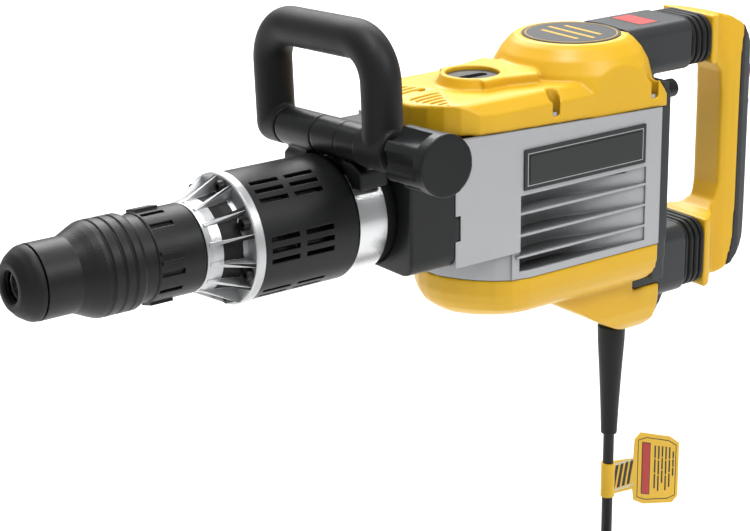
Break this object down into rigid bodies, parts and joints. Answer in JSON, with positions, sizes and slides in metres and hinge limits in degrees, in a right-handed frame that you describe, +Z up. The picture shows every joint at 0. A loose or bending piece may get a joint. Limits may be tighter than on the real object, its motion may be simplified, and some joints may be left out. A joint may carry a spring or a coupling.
{
  "type": "electric demolition hammer",
  "caption": "Electric demolition hammer with a locking tool holder, swivelling side loop handle, sprung rear handle and a mains cord; drives a chisel with a crank and air-cushion ram.",
  "frame": {"origin": "centre of the tool bore at its mouth", "axes": "+X along the hammer axis from the tool to the rear handle, +Z up through the top cover, -Y toward the side with the clamp knob"},
  "size_m": [0.6266, 0.2067, 0.5219],
  "materials": {
    "nose_cap": "matt moulded rubber",
    "locking_sleeve": "fine textured black plastic",
    "lock_ring": "turned",
    "sleeve_spring": "drawn wire",
    "lock_ball_upper": "ground ball",
    "lock_ball_lower": "ground ball",
    "index_ring": "fine textured black plastic",
    "tool_holder": "turned and hardened",
    "beat_piece": "ground",
    "front_flange": "satin die casting",
    "flange_screws": "blackened",
    "barrel_sleeve": "fine textured black plastic",
    "barrel_housing": "black coated casting",
    "impact_cylinder": "honed",
    "ram": "ground",
    "piston": "turned",
    "wrist_pin": "ground",
    "connecting_rod": "forged",
    "ram_seal": "smooth rubber ring",
    "piston_seal": "smooth rubber ring",
    "clamp_strap": "bright rolled strip",
    "clamp_half_far": "fine textured black plastic",
    "clamp_half_near": "fine textured black plastic",
    "clamp_bolt": "zinc plated",
    "detent_ring": "fine textured black plastic",
    "side_loop": "matt soft-touch moulding",
    "clamp_knob": "fine textured black plastic",
    "front_cover": "satin black plastic",
    "main_housing": "satin silver-grey paint",
    "side_badges": "satin dark grey plate",
    "top_cover": "satin yellow plastic",
    "grease_cap": "satin dark grey plastic",
    "dome_disc": "satin dark grey plate",
    "top_cover_screws": "zinc plated",
    "bottom_cover": "satin yellow plastic",
    "gear_plate": "machined casting",
    "crankshaft": "hardened and ground",
    "crank_bearings": "ground",
    "idler_gear": "hardened and ground",
    "armature": "steel core with copper windings",
    "cooling_fan": "moulded plastic",
    "stator": "varnished steel stack",
    "brushes": "carbon",
    "motor_bearings": "ground",
    "rear_plate": "satin dark grey plastic",
    "speed_dial": "fine textured black plastic",
    "upper_bellows": "matt folded rubber",
    "lower_bellows": "matt folded rubber",
    "guide_rods": "ground",
    "handle_springs": "drawn wire",
    "rear_handle": "satin yellow plastic",
    "rear_grip": "matt soft-touch moulding",
    "power_switch": "satin red plastic",
    "cord_boot": "matt rubber",
    "power_cord": "matt rubber sheath",
    "cord_tail": "matt rubber sheath",
    "cord_coil": "matt rubber sheath",
    "coil_tie": "woven hook and loop strap",
    "plug": "moulded rubber with nickel plated pins",
    "cord_tag": "laminated printed card"
  },
  "bodies": {
    "housing": {"nose_cap": "nose_cap", "tool_holder": "tool_holder", "front_flange": "front_flange", "flange_screws": "flange_screws", "barrel_sleeve": "barrel_sleeve", "barrel_housing": "barrel_housing", "impact_cylinder": "impact_cylinder", "front_cover": "front_cover", "main_housing": "main_housing", "side_badges": "side_badges", "top_cover": "top_cover", "grease_cap": "grease_cap", "dome_disc": "dome_disc", "top_cover_screws": "top_cover_screws", "bottom_cover": "bottom_cover", "gear_plate": "gear_plate", "crank_bearings": "crank_bearings", "stator": "stator", "brushes": "brushes", "motor_bearings": "motor_bearings", "rear_plate": "rear_plate", "cord_boot": "cord_boot", "power_cord": "power_cord", "cord_tail": "cord_tail", "cord_coil": "cord_coil", "coil_tie": "coil_tie", "plug": "plug", "cord_tag": "cord_tag"},
    "locking_sleeve": {"locking_sleeve": "locking_sleeve", "lock_ring": "lock_ring", "sleeve_spring": "sleeve_spring"},
    "lock_ball_upper": {"lock_ball_upper": "lock_ball_upper"},
    "lock_ball_lower": {"lock_ball_lower": "lock_ball_lower"},
    "index_ring": {"index_ring": "index_ring"},
    "beat_piece": {"beat_piece": "beat_piece"},
    "ram": {"ram": "ram", "ram_seal": "ram_seal"},
    "piston": {"piston": "piston", "piston_seal": "piston_seal", "wrist_pin": "wrist_pin"},
    "connecting_rod": {"connecting_rod": "connecting_rod"},
    "side_clamp": {"clamp_strap": "clamp_strap", "clamp_half_far": "clamp_half_far", "clamp_half_near": "clamp_half_near", "clamp_bolt": "clamp_bolt"},
    "side_loop": {"side_loop": "side_loop", "detent_ring": "detent_ring"},
    "clamp_knob": {"clamp_knob": "clamp_knob"},
    "crankshaft": {"crankshaft": "crankshaft"},
    "idler_gear": {"idler_gear": "idler_gear"},
    "armature": {"armature": "armature", "cooling_fan": "cooling_fan"},
    "speed_dial": {"speed_dial": "speed_dial"},
    "rear_handle": {"rear_handle": "rear_handle", "rear_grip": "rear_grip", "guide_rods": "guide_rods", "handle_springs": "handle_springs", "upper_bellows": "upper_bellows", "lower_bellows": "lower_bellows"},
    "power_switch": {"power_switch": "power_switch"}
  },
  "joints": [
    {"name": "locking_sleeve_slide", "type": "slide", "parent": "housing", "child": "locking_sleeve", "axis": [1, 0, 0], "range_m": [0, 0.008], "stiffness_N_per_m": 1500, "springref_m": -0.004, "deforming": ["sleeve_spring"]},
    {"name": "lock_ball_upper_lift", "type": "slide", "parent": "housing", "child": "lock_ball_upper", "axis": [0, 0, 1], "range_m": [0, 0.0021]},
    {"name": "lock_ball_lower_lift", "type": "slide", "parent": "housing", "child": "lock_ball_lower", "axis": [0, 0, -1], "range_m": [0, 0.0021]},
    {"name": "index_ring_turn", "type": "hinge", "parent": "housing", "child": "index_ring", "pos_m": [0.09, 0, 0], "axis": [1, 0, 0], "continuous": true},
    {"name": "beat_piece_slide", "type": "slide", "parent": "housing", "child": "beat_piece", "axis": [1, 0, 0], "range_m": [-0.0016, 0.005]},
    {"name": "ram_slide", "type": "slide", "parent": "housing", "child": "ram", "axis": [1, 0, 0], "range_m": [-0.0045, 0.0275]},
    {"name": "piston_slide", "type": "slide", "parent": "housing", "child": "piston", "axis": [1, 0, 0], "range_m": [0, 0.04]},
    {"name": "connecting_rod_swing", "type": "hinge", "parent": "piston", "child": "connecting_rod", "pos_m": [0.264, 0, 0], "axis": [0, 0, 1], "range_deg": [-16, 16]},
    {"name": "side_clamp_turn", "type": "hinge", "parent": "housing", "child": "side_clamp", "pos_m": [0.237, 0, 0], "axis": [1, 0, 0], "continuous": true},
    {"name": "side_loop_tilt", "type": "hinge", "parent": "side_clamp", "child": "side_loop", "pos_m": [0.233, 0.0028, 0.05343], "axis": [0, 0.9986, -0.0523], "range_deg": [-80, 50]},
    {"name": "clamp_knob_turn", "type": "hinge", "parent": "side_clamp", "child": "clamp_knob", "pos_m": [0.233, 0.0028, 0.05343], "axis": [0, 0.9986, -0.0523], "continuous": true},
    {"name": "motor_spin", "type": "hinge", "parent": "housing", "child": "armature", "pos_m": [0.443, 0, 0], "axis": [0, 0, 1], "continuous": true},
    {"name": "idler_spin", "type": "hinge", "parent": "housing", "child": "idler_gear", "pos_m": [0.401, 0, 0.045], "axis": [0, 0, 1], "continuous": true},
    {"name": "crank_spin", "type": "hinge", "parent": "housing", "child": "crankshaft", "pos_m": [0.353, 0, 0.03], "axis": [0, 0, 1], "continuous": true},
    {"name": "speed_dial_turn", "type": "hinge", "parent": "housing", "child": "speed_dial", "pos_m": [0.498, -0.041, 0.0515], "axis": [1, 0, 0], "range_deg": [-135, 135]},
    {"name": "rear_handle_slide", "type": "slide", "parent": "housing", "child": "rear_handle", "axis": [-1, 0, 0], "range_m": [0, 0.006], "stiffness_N_per_m": 9000, "springref_m": -0.003, "deforming": ["upper_bellows", "lower_bellows", "handle_springs"]},
    {"name": "power_switch_rock", "type": "hinge", "parent": "rear_handle", "child": "power_switch", "pos_m": [0.615, 0, 0.03], "axis": [0, -1, 0], "range_deg": [0, 8]}
  ],
  "couplings": [
    {"joint": "lock_ball_upper_lift", "follows": "locking_sleeve_slide", "ratio": 0.2625},
    {"joint": "lock_ball_lower_lift", "follows": "locking_sleeve_slide", "ratio": 0.2625},
    {"joint": "idler_spin", "follows": "motor_spin", "ratio": -0.28571},
    {"joint": "crank_spin", "follows": "motor_spin", "ratio": 0.095238}
  ]
}
